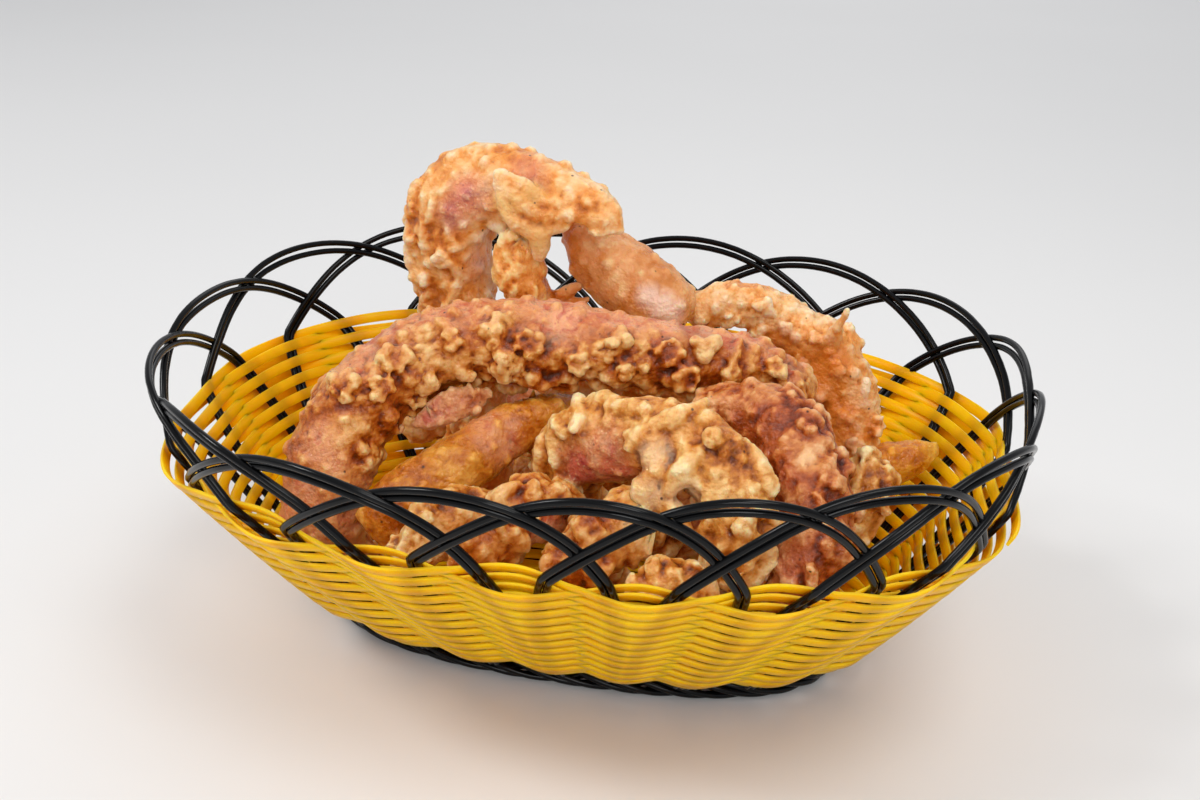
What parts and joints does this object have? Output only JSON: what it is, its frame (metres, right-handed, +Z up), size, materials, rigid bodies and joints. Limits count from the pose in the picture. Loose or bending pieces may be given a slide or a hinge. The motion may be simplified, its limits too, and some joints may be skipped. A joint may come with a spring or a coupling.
{
  "type": "basket of fried octopus tentacles",
  "caption": "Battered fried octopus tentacles heaped in an oval woven plastic basket with a looped cord border.",
  "frame": {"origin": "on the table, under the middle of the basket", "axes": "+X along the basket's long axis, +Z up, the shown side faces -Y"},
  "size_m": [0.2478, 0.2016, 0.1466],
  "materials": {
    "golden_crust": "fried batter, craggy and slightly oily",
    "yellow_strip": "glossy translucent strip",
    "black_cord": "glossy cord"
  },
  "bodies": {
    "root": {"basket_wall": "yellow_strip", "foot_ring": "black_cord", "rim_loop_01": "black_cord", "rim_loop_02": "black_cord", "rim_loop_03": "black_cord", "rim_loop_04": "black_cord", "rim_loop_05": "black_cord", "rim_loop_06": "black_cord", "rim_loop_07": "black_cord", "rim_loop_08": "black_cord", "rim_loop_09": "black_cord", "rim_loop_10": "black_cord", "rim_loop_11": "black_cord", "rim_loop_12": "black_cord", "rim_loop_13": "black_cord", "rim_loop_14": "black_cord", "rim_loop_15": "black_cord", "rim_loop_16": "black_cord", "rim_loop_17": "black_cord", "tentacle_long_arch": "golden_crust", "tentacle_top_arch": "golden_crust", "tentacle_right_front": "golden_crust", "tentacle_front_curl": "golden_crust", "tentacle_back_right": "golden_crust", "tentacle_under_tube": "golden_crust", "piece_smooth_cut": "golden_crust", "piece_low_left": "golden_crust", "piece_low_middle": "golden_crust", "piece_low_right": "golden_crust", "piece_low_far": "golden_crust", "piece_frilly_curl": "golden_crust", "piece_brown_end": "golden_crust", "piece_pale_knobs": "golden_crust", "piece_torn_skin": "golden_crust", "tentacle_back_low": "golden_crust", "tentacle_back_high": "golden_crust", "tentacle_back_top": "golden_crust"}
  },
  "joints": []
}
